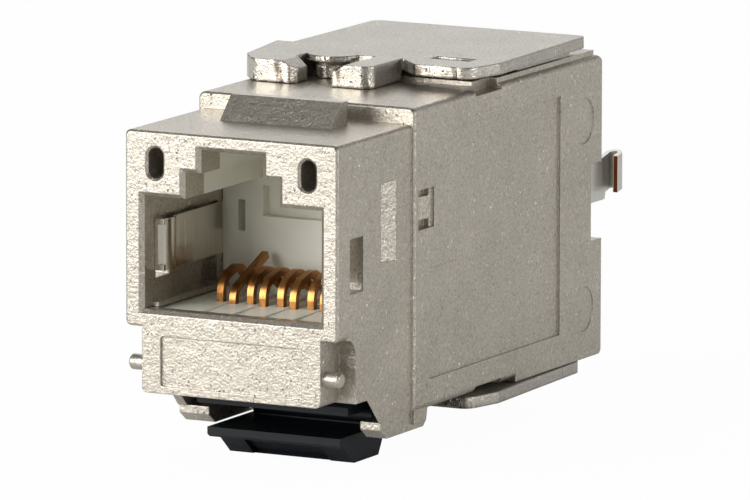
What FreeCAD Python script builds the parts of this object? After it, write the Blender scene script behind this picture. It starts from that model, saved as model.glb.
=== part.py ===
import FreeCAD, Part
import math
import os
from FreeCAD import Vector

os.makedirs("parts", exist_ok=True)

# Shielded keystone jack, all sizes in millimetres.
# The plug axis is the Y axis: the port mouth lies in the plane Y = 0 and the cable enters at the back.
# +Z is up, X runs across, and the origin is the centre of the port mouth.

# Port mouth and its two-step key channel above it
port_width = 11.84
port_height = 6.77
port_lead_in = 0.27
key_width = 6.34
key_rise = 1.6
tab_width = 4.2
tab_rise = 1.38
port_depth = 9.9

# Nose, the part that stands in the panel cut-out
nose_width = 14.2
nose_length = 9.45
nose_top_wall = 0.96
sill_height = 1.04
nose_corner = 0.35
front_wall = 1.0
edge_break = 0.12

# Lower front block with its bare sunken label place
block_width = 11.96
block_height = 3.95
block_depth = 2.36
notch_corner = 1.1
plaque_width = 9.46
plaque_height = 3.01
plaque_drop = 0.5
plaque_sink = 0.15
plaque_corner = 0.2

# Oval light slots beside the key channel
slot_spacing = 10.2
slot_width = 1.0
slot_length = 1.84
slot_drop = 1.92
slot_depth = 4.5
slot_lead_in = 0.15

# Side pegs of the lower block
peg_radius = 0.47
peg_reach = 1.07
peg_y = 0.7
peg_rise = 1.67

# Fixed catch on top of the nose
catch_width = 7.4
catch_front = 5.5
catch_crest = 6.9
catch_height = 1.42
panel_slot = 1.75

# Body behind the panel
body_width = 14.6
body_length = 24.98
body_rise = 1.0
body_drop = 5.65
body_corner = 0.45
body_wall = 0.8
floor_wall = 0.9
deck_inset = 0.35
deck_rise = 0.3
deck_start = 9.3
deck_end_gap = 0.5
floor_rise = 0.2
floor_rise_start = 13.4
floor_rise_chamfer = 0.22
rail_cut_start = 8.05
rail_cut_length = 3.4
rail_cut_depth = 0.35
rail_cut_inset = 0.6
bulkhead = 2.75

# Feet that carry the latch
foot_drop = 2.7
foot_front = 3.77
foot_knee = 5.31
foot_knee_drop = 1.64
foot_bar_front = 5.5
foot_bar_height = 0.48
foot_toe_y = 6.3
foot_heel = 2.15
foot_edge = 0.9
foot_wall = 0.6
foot_toe_setback = 0.6
foot_heel_step = 0.2
foot_heel_rise = 0.35
right_foot_inner = 5.75
left_foot_outer = 6.45
left_foot_inner = 4.45

# Latch, one moulding on a steel pin
latch_left = 4.35
latch_right = 4.6
latch_front = 5.1
latch_back_gap = 0.3
latch_plate_top = 18.46
latch_plate_thickness = 0.64
latch_keel_half = 4.2
latch_keel_front = 6.2
latch_keel_toe = 7.7
latch_keel_heel = 0.5
latch_keel_depth = 1.25
latch_pocket_half = 2.6
latch_pocket_depth = 0.25
latch_pocket_front = 0.25
latch_pocket_top = 0.2
latch_pocket_bottom = 0.15
latch_lip_bevel = 0.3
latch_lip_rise = 0.2
latch_heel_drop = 0.4
latch_web_front = 0.45
barrel_wall = 0.32
latch_web_left = 3.9
latch_web_right = 4.15
latch_neck_inset = 0.35
finger_left = 4.55
finger_right = 5.6
finger_front = 4.2
finger_root = 1.4
finger_thickness = 0.75
finger_nose_run = 0.2
finger_nose_drop = 0.25
finger_gap = 1.6
finger_side_gap = 0.15
pin_setback = 1.0
pin_drop = 17.95
pin_radius = 0.3
pin_running_gap = 0.03
pin_end_inset = 0.15
latch_travel_deg = 8.0
latch_headroom = 0.35

# Side openings of the housing
window_y = 1.58
window_length = 1.71
window_drop = 5.77
window_height = 3.28
ramp_y = 5.5
ramp_length = 1.92
ramp_drop = 3.0
ramp_height = 4.82
ramp_depth = 0.75
snap_setback = 0.48
snap_length = 2.08
snap_drop = 4.03
snap_height = 2.4
snap_depth = 0.5
snap_depth_back = 0.16
snap_end = 0.5
snap_end_length = 1.75
snap_end_depth = 0.55

# Bare sunken label field on each side
label_front = 2.0
label_step = 5.85
label_back_gap = 5.63
label_top_drop = 0.87
label_step_drop = 8.91
label_bottom_drop = 15.6
label_sink = 0.14
ejector_radius = 1.4
ejector_setback = 2.43
ejector_drops = (2.83, 14.51)
ejector_sink = 0.06

# Notch in the rear edge of each side wall
rear_notch_depth = 1.43
rear_notch_drop = 5.65
rear_notch_height = 4.77

# Plastic port insert and contact carrier
seat_clearance = 0.05
insert_thickness = 1.2
insert_flange = 0.9
insert_wall = 1.0
insert_roof = 0.6
insert_pocket_width = 0.5
insert_pocket_x = 4.6
insert_pocket_top = 1.5
insert_pocket_height = 1.9
insert_pocket_depth = 0.9
insert_ledge_left = 3.15
insert_ledge_drop = 2.4
insert_ledge_sink = 0.7
insert_ledge_side = 0.6
insert_ledge_top = 0.5
liner_front = 2.5
liner_wall = 0.4
liner_shoulder = 0.3
carrier_floor_sink = 0.13
carrier_thickness = 0.6
carrier_comb_height = 1.0
carrier_comb_setback = 0.3
groove_width = 0.6
groove_depth = 0.25
ramp_sink_front = 0.16
ramp_half = 0.5
rail_width = 0.47
rail_height = 0.3
rail_start = 0.1

# Eight spring contacts at the standard pitch
contact_count = 8
contact_pitch = 1.016
contact_size = 0.42
contact_foot_inset = 4.8
contact_row_shift = 0.35
contact_rise = 1.3
contact_peak_reach = 2.4
contact_peak_height = 1.68
contact_tail_height = 0.55
contact_raised_index = 1
contact_raised_height = 2.35
contact_raised_rise = 0.75
contact_raised_reach = 4.0
contact_arch_radius = 1.1
contact_tail_radius = 0.4
contact_raised_radius = 0.8
contact_tail_run = 1.6

# Circuit board and insulation displacement block
board_thickness = 1.2
board_margin = 0.15
idc_block_length = 5.8
idc_per_row = 4
idc_side_margin = 1.85
idc_row_offset = 4.4
idc_contact_width = 1.6
idc_contact_thickness = 0.4
idc_contact_length = 5.2
idc_slit = 0.3
idc_slit_length = 3.2
idc_mouth_length = 0.5
idc_mouth_share = 0.7
idc_gap_room = 0.4
idc_tower_height = 2.6
idc_slot_gap = 0.05

# Wire manager, rear cap and cable clip
manager_gap = 0.1
manager_length = 9.6
manager_corner = 0.6
funnel_length = 1.6
cable_radius = 3.4
cable_bore_depth = 6.0
wire_channel_width = 1.5
wire_channel_length = 3.2
manager_flank_setback = 4.2
manager_flank_half = 2.5
manager_flank_depth = 0.7
cap_wall = 1.3
cap_wall_side_gap = 0.9
arm_gap = 0.4
arm_thickness = 0.7
arm_front_overhang = 0.45
arm_setback = 7.45
arm_shoulder = 2.8
arm_shoulder_round = 0.9
arm_back_gap = 2.13
arm_corner = 0.6
arm_front_taper = 0.65
arm_left_flare = 0.1
arm_left_taper = 0.3
bottom_arm_back_gap = 2.73
bottom_arm_slant = 0.3
arm_bottom_gap = 0.05
cap_wall_inset = 2.33
rib_front = 6.1
rib_back = 2.4
rib_height = 0.2
rib_width = 0.6
fork_center = -3.0
fork_reach = 2.4
fork_root = 1.7
fork_depth = 1.35
fork_shoulder = 1.5
left_prong_overhang = 1.0
left_prong_inner = -3.5
right_prong = (-0.95, 1.65)
prong_jog = 4.8
prong_bevel = 0.9
prong_head = 1.65
prong_neck = 0.95
prong_chamfer = 0.35
prong_toe = 1.9
prong_toe_back = 1.6
prong_toe_side = 0.7
prong_root_step = 0.3
prong_round = 0.7
left_prong_round = 1.1
tongue_half = 1.75
tongue_reach = 0.3
tongue_lip = 0.28
tongue_crown = 1.6
tongue_back = 3.0
post_radius = 0.9
post_setback = 1.3
neck_setback = 0.4
neck_start = 0.05
arm_slot_length = 2.65
arm_slot_width = 1.0
arm_slot_x = 4.5
arm_slot_setback = 3.0
clip_thickness = 0.3
clip_plate_side_gap = 0.2
clip_plate_top_drop = 2.6
clip_plate_bottom_drop = 13.0
clip_gap = 0.05
clip_ear_top_drop = 5.75
clip_ear_height = 2.5
clip_ear_rise = 0.55
clip_ear_reach = 2.15
clip_hook_radius = 0.25
clip_hook_return = 0.55
clip_leaf_run = 0.6
clip_fold_rise = 0.75
clip_return_rise = 0.45
clip_return_slant = 0.15
clip_slot_half = 4.3

# Shield springs along the port side walls
spring_thickness = 0.2
spring_top = 1.85
spring_height = 3.1
spring_end_gap = 0.9
spring_bend_back = 3.1
spring_bend_front = 1.45
spring_bulge = 0.55
spring_stand = 0.3
spring_pocket_front = 3.4
spring_pocket_depth = 0.45
spring_well_length = 1.2
spring_well_depth = 0.9
spring_well_past = 0.3
spring_wall_gap = 0.04
spring_tab_height = 0.35
spring_tab_reach = 0.6

# Levels worked out from the sizes above
port_top = port_height / 2
port_bottom = -port_height / 2
key_top = port_top + key_rise
tab_top = key_top + tab_rise
nose_top = tab_top + nose_top_wall
nose_bottom = port_bottom - sill_height
block_bottom = nose_bottom - block_height
body_top = nose_top + body_rise
body_bottom = block_bottom - (body_drop - block_height)
body_back = nose_length + body_length
foot_back = nose_length + foot_heel
arm_front = nose_length + arm_setback
arm_back = body_back - arm_back_gap
bottom_arm_back = body_back - bottom_arm_back_gap
pin_y = foot_back - pin_setback
latch_back = foot_back - latch_back_gap
foot_bottom = block_bottom - foot_drop
bulkhead_back = nose_length + bulkhead
cavity_half = body_width / 2 - body_wall
deck_half = body_width / 2 - deck_inset
cavity_top = body_top - body_wall
cavity_bottom = body_bottom + floor_wall
nose_half = nose_width / 2
body_half = body_width / 2
cap_wall_half = cavity_half - cap_wall_side_gap
arm_half_back = body_half
arm_half_front = body_half + arm_front_overhang
left_prong = (-arm_half_back - left_prong_overhang, left_prong_inner)
clip_plate_half = cavity_half - clip_plate_side_gap
idc_pitch = 2 * (cavity_half - idc_side_margin) / (idc_per_row - 1)


def box(x0, x1, y0, y1, z0, z1):
    return Part.makeBox(x1 - x0, y1 - y0, z1 - z0, Vector(x0, y0, z0))


def edges_along(shape, direction, keep):
    """Edges parallel to a direction whose middle passes a test."""
    found = []
    for edge in shape.Edges:
        first = edge.Vertexes[0].Point
        last = edge.Vertexes[-1].Point
        run = last.sub(first)
        if run.Length < 1e-6:
            continue
        if abs(abs(run.normalize().dot(direction)) - 1) > 1e-4:
            continue
        if keep(first.add(last).multiply(0.5)):
            found.append(edge)
    return found


def round_along_y(shape, radius, keep=lambda middle: True):
    return shape.makeFillet(radius, edges_along(shape, Vector(0, 1, 0), keep))


def soften_front(shape, y, size):
    """Small bevel around the face that lies in the plane Y = y."""
    front = [edge for edge in shape.Edges if all(abs(v.Point.y - y) < 1e-6 for v in edge.Vertexes)]
    return shape.makeChamfer(size, front)


def prism_x(points, x0, x1):
    """Polygon of (y, z) points pushed from x0 to x1."""
    loop = [Vector(x0, y, z) for y, z in points]
    return Part.Face(Part.makePolygon(loop + loop[:1])).extrude(Vector(x1 - x0, 0, 0))


def prism_z(points, z0, z1):
    """Polygon of (x, y) points pushed from z0 to z1."""
    loop = [Vector(x, y, z0) for x, y in points]
    return Part.Face(Part.makePolygon(loop + loop[:1])).extrude(Vector(0, 0, z1 - z0))


def cylinder_x(radius, x0, x1, y, z):
    return Part.makeCylinder(radius, x1 - x0, Vector(x0, y, z), Vector(1, 0, 0))


def cylinder_y(radius, y0, y1, x, z):
    return Part.makeCylinder(radius, y1 - y0, Vector(x, y0, z), Vector(0, 1, 0))


def both_sides(shape):
    """The shape together with its mirror image in the plane X = 0."""
    return [shape, shape.mirror(Vector(0, 0, 0), Vector(1, 0, 0))]


def save(name, shape):
    solid = shape.removeSplitter()
    solid.exportStep("parts/" + name + ".step")


def port_outline(y, grow):
    """Stepped outline of the port and its key channel, grown on every side."""
    half = port_width / 2 + grow
    key = key_width / 2 + grow
    tab = tab_width / 2 + grow
    points = [(-half, port_bottom - grow), (half, port_bottom - grow), (half, port_top + grow),
              (key, port_top + grow), (key, key_top + grow), (tab, key_top + grow),
              (tab, tab_top + grow), (-tab, tab_top + grow), (-tab, key_top + grow),
              (-key, key_top + grow), (-key, port_top + grow), (-half, port_top + grow)]
    loop = [Vector(x, y, z) for x, z in points]
    return Part.makePolygon(loop + loop[:1])


def port_void(y_end, grow=0.0):
    face = Part.Face(port_outline(0, grow))
    return face.extrude(Vector(0, y_end, 0))


def key_liner(y_front, y_back, grow):
    """Block with the key channel's outline above the port, its walls moved outwards."""
    half = key_width / 2 + grow
    block = Part.Face(port_outline(y_front, grow)).extrude(Vector(0, y_back - y_front, 0))
    return block.common(box(-half, half, y_front, y_back, port_top, tab_top + grow))


def spring_pockets():
    """Room in the port's side walls behind and below the sheet springs, deeper at their back ends."""
    half = port_width / 2
    low = port_bottom + rail_height
    under = spring_top - spring_height + spring_tab_height
    well_back = port_depth - spring_end_gap + spring_well_past
    well_front = well_back - spring_well_length
    shallow = box(half - 0.1, half + spring_pocket_depth, spring_pocket_front, well_front, low, under)
    deep = box(half - 0.1, half + spring_well_depth, well_front, well_back, low, spring_top)
    return both_sides(shallow) + both_sides(deep)


def slot_void(x, grow, depth):
    """Upright oval slot in the front face."""
    half = slot_width / 2 + grow
    straight = (slot_length - slot_width) / 2
    z = nose_top - slot_drop
    bar = box(x - half, x + half, 0, depth, z - straight, z + straight)
    return bar.fuse([cylinder_y(half, 0, depth, x, z + end) for end in (straight, -straight)])


def slot_mouth(x):
    """Bevel around the mouth of an oval slot, as two cones and the wedge between them."""
    half = slot_width / 2
    straight = (slot_length - slot_width) / 2
    z = nose_top - slot_drop
    wide = half + slot_lead_in
    cones = [Part.makeCone(wide, half, slot_lead_in, Vector(x, 0, z + side * straight), Vector(0, 1, 0))
             for side in (-1, 1)]
    loop = [Vector(x - wide, 0, z - straight), Vector(x + wide, 0, z - straight),
            Vector(x + half, slot_lead_in, z - straight), Vector(x - half, slot_lead_in, z - straight)]
    wedge = Part.Face(Part.makePolygon(loop + loop[:1])).extrude(Vector(0, 0, 2 * straight))
    return wedge.fuse(cones)


def make_nose():
    nose = box(-nose_half, nose_half, 0, nose_length + body_corner, nose_bottom, nose_top)
    nose = soften_front(round_along_y(nose, nose_corner), 0, edge_break)
    narrow_half = block_width / 2
    narrow = box(-narrow_half, narrow_half, 0, block_depth + 1, block_bottom, nose_bottom + 0.5)
    narrow = round_along_y(narrow, nose_corner, lambda middle: middle.z < nose_bottom)
    return nose.fuse([narrow, make_block_flank()])


def make_block_flank():
    """Wide rear part of the lower block, with the rounded inner corner of the side notches."""
    corner_y = block_depth - notch_corner
    corner_z = nose_bottom - notch_corner
    over = nose_bottom + nose_corner
    back = nose_length + body_corner
    turn = math.sqrt(0.5) * notch_corner
    lines = [Vector(-nose_half, block_depth, block_bottom), Vector(-nose_half, block_depth, corner_z)]
    arc_end = Vector(-nose_half, corner_y, nose_bottom)
    arc = Part.Arc(lines[1], Vector(-nose_half, corner_y + turn, corner_z + turn), arc_end)
    loop = [arc_end, Vector(-nose_half, corner_y, over), Vector(-nose_half, back, over),
            Vector(-nose_half, back, block_bottom), lines[0]]
    edges = [Part.makeLine(lines[0], lines[1]), arc.toShape()]
    edges += [Part.makeLine(a, b) for a, b in zip(loop[:-1], loop[1:])]
    return Part.Face(Part.Wire(edges)).extrude(Vector(nose_width, 0, 0))


def make_catch():
    crest = nose_top + catch_height
    back = nose_length - panel_slot
    root = nose_top - nose_corner
    points = [(catch_front, root), (catch_front, nose_top), (catch_crest, crest), (back, crest),
              (back, root)]
    return prism_x(points, -catch_width / 2, catch_width / 2)


def make_body():
    body = box(-body_half, body_half, nose_length, body_back, body_bottom, body_top)
    body = soften_front(round_along_y(body, body_corner), nose_length, edge_break)
    deck_front = nose_length + deck_start
    deck_back = body_back - deck_end_gap
    deck = box(-deck_half, deck_half, deck_front, deck_back, body_top - 0.2, body_top + deck_rise)
    low = body_bottom - floor_rise
    high = body_bottom + body_corner + 0.1
    floor_front = nose_length + floor_rise_start
    thick_floor = prism_x([(floor_front, high), (floor_front, low), (body_back - floor_rise_chamfer, low),
                           (body_back, low + floor_rise_chamfer), (body_back, high)],
                          -body_half, body_half)
    return body.cut(rear_roundings()).fuse([deck, thick_floor])


def rear_roundings():
    """What is cut away to round the top and bottom rear edges of the body."""
    cuts = []
    y = body_back - body_corner
    side = body_half + 1
    for z, low, high in ((body_top - body_corner, 0, 1), (body_bottom + body_corner, -1, 0)):
        corner = box(-side, side, y, body_back + 1, z + low, z + high)
        cuts.append(corner.cut(cylinder_x(body_corner, -side - 1, side + 1, y, z)))
    return cuts


def foot_profile():
    knee = block_bottom - foot_knee_drop
    bar_bottom = knee - foot_bar_height
    return [(foot_front, block_bottom + 0.4), (foot_front, block_bottom), (foot_knee, knee),
            (foot_bar_front, knee), (foot_bar_front, bar_bottom), (foot_toe_y, foot_bottom),
            (foot_back - foot_toe_setback, foot_bottom),
            (foot_back - foot_heel_step, foot_bottom + foot_heel_rise),
            (foot_back, body_bottom + 0.2), (foot_back, block_bottom + 0.4)]


def bar_profile():
    """Lower part of a foot, which reaches inwards under the latch finger."""
    knee = block_bottom - foot_knee_drop
    bar_bottom = knee - foot_bar_height
    return [(foot_bar_front, knee), (foot_bar_front, bar_bottom), (foot_toe_y, foot_bottom),
            (foot_back - foot_toe_setback, foot_bottom),
            (foot_back - foot_heel_step, foot_bottom + foot_heel_rise),
            (foot_back, body_bottom + 0.2), (foot_back, knee)]


def make_feet():
    right = prism_x(foot_profile(), nose_half - foot_wall, nose_half)
    right_bar = prism_x(bar_profile(), right_foot_inner, nose_half)
    left = prism_x(foot_profile(), -left_foot_outer, -left_foot_outer + foot_wall)
    left_bar = prism_x(bar_profile(), -left_foot_outer, -left_foot_inner)
    corners = [(nose_half, foot_front), (nose_half - foot_wall, foot_front + foot_edge),
               (nose_half - foot_wall, foot_front - 1), (nose_half, foot_front - 1)]
    loop = [Vector(x, y, block_bottom) for x, y in corners]
    slope = Vector(0, foot_knee - foot_front, -foot_knee_drop)
    right = right.cut(Part.Face(Part.makePolygon(loop + loop[:1])).extrude(slope))
    inner = min(nose_half, body_half) - foot_wall
    heel = box(inner, max(nose_half, body_half), nose_length, foot_back - foot_toe_setback,
               foot_bottom + foot_heel_rise, body_bottom + 0.2)
    return [right, right_bar, left, left_bar, heel]


def latch_room():
    """Space under the housing that the latch finger swings up into."""
    knee = block_bottom - foot_knee_drop
    swing = (pin_y - finger_front) * math.tan(math.radians(latch_travel_deg))
    ceiling = finger_underside() + finger_thickness + swing + latch_headroom
    front = finger_front - latch_headroom * 2
    heel = foot_back - finger_side_gap
    upper = box(-left_foot_outer + foot_wall, finger_right + finger_side_gap, front, heel, knee, ceiling)
    lower = box(-left_foot_inner, right_foot_inner, front, heel, foot_bottom - 1, ceiling)
    under = box(-left_foot_inner, right_foot_inner, front, foot_back + 1, foot_bottom - 1, body_bottom)
    return [upper, lower, under]


def finger_underside():
    return nose_top - latch_plate_top + finger_gap


def side_windows():
    """Openings and sunken fields of the right side, cut on both sides."""
    cuts = []
    top = nose_top - window_drop
    cuts.append(box(port_width / 2 - 0.1, nose_half + 1, window_y, window_y + window_length,
                    top - window_height, top))
    ramp_top = nose_top - ramp_drop
    ramp = prism_z([(nose_half + 1, ramp_y), (nose_half - ramp_depth, ramp_y),
                    (nose_half, ramp_y + ramp_length), (nose_half + 1, ramp_y + ramp_length)],
                   ramp_top - ramp_height, ramp_top)
    cuts.append(ramp)
    snap_top = nose_top - snap_drop
    snap_y = nose_length + snap_setback
    snap = [(body_half + 1, snap_y), (body_half - snap_depth, snap_y),
            (body_half - snap_depth_back, snap_y + snap_length), (body_half + 1, snap_y + snap_length)]
    cuts.append(prism_z(snap, snap_top - snap_height, snap_top))
    for low in (snap_top - snap_end, snap_top - snap_height):
        cuts.append(box(body_half - snap_end_depth, body_half + 1, snap_y, snap_y + snap_end_length,
                        low, low + snap_end))
    step = nose_length + label_step
    front = nose_length + label_front
    back = body_back - label_back_gap
    label = [(step, nose_top - label_top_drop), (back, nose_top - label_top_drop),
             (back, nose_top - label_bottom_drop), (front, nose_top - label_bottom_drop),
             (front, nose_top - label_step_drop), (step, nose_top - label_step_drop)]
    cuts.append(prism_x(label, body_half - label_sink, body_half + 1))
    for drop in ejector_drops:
        cuts.append(cylinder_x(ejector_radius, body_half - ejector_sink, body_half + 1,
                               body_back - ejector_setback, nose_top - drop))
    notch_top = nose_top - rear_notch_drop
    cuts.append(box(cavity_half - 0.1, body_half + 1, body_back - rear_notch_depth, body_back + 1,
                    notch_top - rear_notch_height, notch_top))
    return [piece for cut in cuts for piece in both_sides(cut)]


def rail_cuts():
    """Short cuts in the long edges of the body, beside the arms of the rear cap."""
    start = nose_length + rail_cut_start
    end = start + rail_cut_length
    inner = deck_half - rail_cut_inset
    top = box(inner, body_half + 1, start, end, body_top - rail_cut_depth, body_top + 1)
    bottom = box(inner, body_half + 1, start, end, body_bottom - 1, body_bottom + rail_cut_depth)
    return both_sides(top) + both_sides(bottom)


def make_pegs():
    z = block_bottom + peg_rise
    half = block_width / 2
    peg = cylinder_x(peg_radius, half - 0.5, half + peg_reach, peg_y, z)
    tip = [edge for edge in peg.Edges if abs(edge.CenterOfMass.x - half - peg_reach) < 1e-3]
    return both_sides(peg.makeChamfer(edge_break, tip))


def make_housing():
    solid = make_nose().fuse([make_catch(), make_body()] + make_feet())
    mouth = Part.makeLoft([port_outline(0, port_lead_in), port_outline(port_lead_in, 0)], True, True)
    plaque_top = nose_bottom - plaque_drop
    plaque = box(-plaque_width / 2, plaque_width / 2, -1, plaque_sink,
                 plaque_top - plaque_height, plaque_top)
    plaque = round_along_y(plaque, plaque_corner)
    carrier_room = box(-port_width / 2, port_width / 2, front_wall, bulkhead_back + 0.1,
                       floor_top() - carrier_thickness - seat_clearance, port_bottom + 0.1)
    inner = box(-cavity_half, cavity_half, bulkhead_back, body_back + 1, cavity_bottom, cavity_top)
    cuts = [port_void(bulkhead_back + 0.1), mouth, plaque, carrier_room, inner]
    for x in (-slot_spacing / 2, slot_spacing / 2):
        cuts += [slot_void(x, 0.0, slot_depth), slot_mouth(x)]
    cuts += latch_room() + side_windows() + rail_cuts() + spring_pockets()
    cuts.append(key_liner(liner_front, port_depth + liner_shoulder + seat_clearance, liner_wall))
    cuts.append(cylinder_x(pin_radius, -left_foot_outer + pin_end_inset, nose_half - pin_end_inset,
                           pin_y, nose_top - pin_drop))
    solid = solid.cut(cuts)
    rail = box(port_width / 2 - rail_width, port_width / 2 + 0.2, front_wall + rail_start, port_depth,
               port_bottom, port_bottom + rail_height)
    return solid.fuse(both_sides(rail) + make_pegs())


def make_insert():
    """White plug that closes the back of the port and carries the flange against the bulkhead."""
    back = port_depth + insert_thickness
    face = Part.Face(port_outline(port_depth, -seat_clearance))
    plug = face.extrude(Vector(0, bulkhead_back - port_depth, 0))
    inner = port_width / 2 - insert_wall
    roof = port_top - insert_roof
    hollow = box(-inner, inner, back, bulkhead_back + 1, port_bottom, roof)
    half = cavity_half - seat_clearance
    flange = box(-half, half, bulkhead_back, bulkhead_back + insert_flange, port_bottom, tab_top)
    flange = flange.cut(box(-inner, inner, bulkhead_back - 1, bulkhead_back + 2, port_bottom - 1, roof))
    pocket_top = port_top - insert_pocket_top
    pocket = box(-insert_pocket_x - insert_pocket_width / 2, -insert_pocket_x + insert_pocket_width / 2,
                 port_depth - 1, port_depth + insert_pocket_depth,
                 pocket_top - insert_pocket_height, pocket_top)
    ledge = box(-insert_ledge_left, port_width / 2 - insert_ledge_side, port_depth - 1,
                port_depth + insert_ledge_sink, port_top - insert_ledge_drop, port_top - insert_ledge_top)
    comb_gap = box(-cavity_half, cavity_half, port_depth - 1, bulkhead_back + 2, port_bottom - 1,
                   comb_top() + seat_clearance)
    liner = key_liner(liner_front + seat_clearance, port_depth + liner_shoulder,
                      liner_wall - seat_clearance)
    liner = liner.cut(port_void(port_depth))
    return plug.cut([hollow, pocket, ledge]).fuse([flange, liner]).cut(comb_gap)


def floor_top():
    return port_bottom - carrier_floor_sink


def comb_top():
    return floor_top() + carrier_comb_height


def contact_x(index):
    return (index - (contact_count - 1) / 2) * contact_pitch


def contact_foot(index):
    """Feet stand in two rows, the odd ones a little nearer the mouth."""
    shift = contact_row_shift if index % 2 == 0 else 0.0
    return port_depth - contact_foot_inset + shift


def make_carrier():
    top = floor_top()
    bottom = top - carrier_thickness
    half = port_width / 2 - seat_clearance
    front = front_wall + seat_clearance
    back = bulkhead_back + insert_flange
    slab = box(-half, half, front, bulkhead_back, bottom, top)
    rail_room = box(half - rail_width - seat_clearance, half + 1, 0, port_depth, top - 0.01, 0)
    slab = slab.cut(both_sides(rail_room))
    comb_front = port_depth + carrier_comb_setback
    comb_half = min(half - 0.1, cavity_half - seat_clearance)
    comb = box(-comb_half, comb_half, comb_front, back, bottom, comb_top())
    cuts = []
    for index in range(contact_count):
        x = contact_x(index)
        side = groove_width / 2
        room = contact_size / 2 + seat_clearance
        foot = contact_foot(index)
        cuts.append(box(x - side, x + side, foot - room, comb_front, top - groove_depth, comb_top() + 1))
        if index % 2 == 1:
            sunk = top - ramp_sink_front
            ramp = [(front - 1, top), (front - 1, sunk), (front, sunk), (foot, top)]
            cuts.append(prism_x(ramp, x - side, x + contact_pitch + ramp_half))
        cuts.append(box(x - room, x + room, foot - room, foot + room, bottom - 1, top))
        tail = top + contact_tail_height
        cuts.append(box(x - room, x + room, port_depth, back + 1, tail - room, comb_top() + 1))
    return slab.fuse(comb).cut(cuts)


def sweep_section(points, radii, x, size):
    """Square wire of one size along straight runs in the plane X = x, joined by tangent arcs."""
    corners = [Vector(x, y, z) for y, z in points]
    edges = []
    start = corners[0]
    for corner, after, radius in zip(corners[1:-1], corners[2:], radii):
        into = corner.sub(start).normalize()
        away = after.sub(corner).normalize()
        half_turn = into.getAngle(away) / 2
        reach = radius * math.tan(half_turn)
        first = corner.sub(Vector(into).multiply(reach))
        last = corner.add(Vector(away).multiply(reach))
        inward = away.sub(into).normalize()
        middle = corner.add(inward.multiply(radius / math.cos(half_turn) - radius))
        edges.append(Part.makeLine(start, first))
        edges.append(Part.Arc(first, middle, last).toShape())
        start = last
    edges.append(Part.makeLine(start, corners[-1]))
    path = Part.Wire(edges)
    run = corners[1].sub(corners[0]).normalize()
    across = Vector(1, 0, 0)
    up = run.cross(across)
    h = size / 2
    loop = [corners[0].add(Vector(across).multiply(a * h)).add(Vector(up).multiply(b * h))
            for a, b in ((-1, -1), (1, -1), (1, 1), (-1, 1))]
    section = Part.makePolygon(loop + loop[:1])
    return path.makePipeShell([section], True, True)


def make_contact(index):
    x = contact_x(index)
    foot = contact_foot(index)
    top = floor_top()
    start = (foot, top - carrier_thickness + seat_clearance)
    if index == contact_raised_index:
        knee = (foot, top + contact_raised_rise)
        end = (foot + contact_raised_reach, top + contact_raised_height)
        return sweep_section([start, knee, end], [contact_raised_radius], x, contact_size)
    knee = (foot, top + contact_rise)
    peak_y = port_depth - contact_foot_inset + contact_peak_reach
    peak = (peak_y, top + contact_peak_height + contact_size / 2)
    tail_z = top + contact_tail_height
    bend = (peak_y + contact_tail_run, tail_z)
    end = (bulkhead_back + insert_flange, tail_z)
    radii = [contact_arch_radius, contact_arch_radius, contact_tail_radius]
    return sweep_section([start, knee, peak, bend, end], radii, x, contact_size)


def make_shield_spring():
    """Sheet spring on the left wall: a flat leaf, a bulge towards the plug and two end tabs."""
    wall = -port_width / 2 + spring_wall_gap
    mid_y = (spring_bend_front + spring_bend_back) / 2
    t = spring_thickness
    stand = wall + spring_stand
    outer = [Vector(wall, spring_bend_front, 0), Vector(wall + spring_bulge, mid_y, 0),
             Vector(stand, spring_bend_back, 0)]
    inner_front = Vector(wall + t, spring_bend_front, 0)
    inner_back = Vector(stand + t, spring_bend_back, 0)
    back_outer = Vector(stand, port_depth - spring_end_gap, 0)
    back_inner = Vector(stand + t, port_depth - spring_end_gap, 0)
    inner_mid = Vector(wall + spring_bulge + t, mid_y, 0)
    edges = [Part.Arc(outer[0], outer[1], outer[2]).toShape(),
             Part.makeLine(outer[2], back_outer),
             Part.makeLine(back_outer, back_inner),
             Part.makeLine(back_inner, inner_back),
             Part.Arc(inner_back, inner_mid, inner_front).toShape(),
             Part.makeLine(inner_front, outer[0])]
    leaf = Part.Face(Part.Wire(edges)).extrude(Vector(0, 0, spring_height))
    leaf.translate(Vector(0, 0, spring_top - spring_height))
    tabs = [box(wall, wall + spring_tab_reach, spring_bend_front, spring_bend_front + t,
                z, z + spring_tab_height)
            for z in (spring_top - spring_tab_height, spring_top - spring_height)]
    return leaf.fuse(tabs)


def board_front():
    return bulkhead_back + insert_flange


def make_board():
    front = board_front()
    half = cavity_half - board_margin
    return box(-half, half, front, front + board_thickness,
               cavity_bottom + board_margin, cavity_top - board_margin)


def idc_places():
    places = []
    middle = (cavity_top + cavity_bottom) / 2
    for row in (1, -1):
        for column in range(idc_per_row):
            x = (column - (idc_per_row - 1) / 2) * idc_pitch
            places.append((x, middle + row * idc_row_offset))
    return places


def idc_void(x, z, gap):
    """Slot that a contact blade stands in, with the wire gap above it."""
    half = idc_contact_width / 2 + gap
    thick = idc_contact_thickness / 2 + gap
    front = board_front() + board_thickness
    return box(x - half, x + half, front - 1, front + idc_block_length + 1, z - thick, z + thick)


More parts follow.
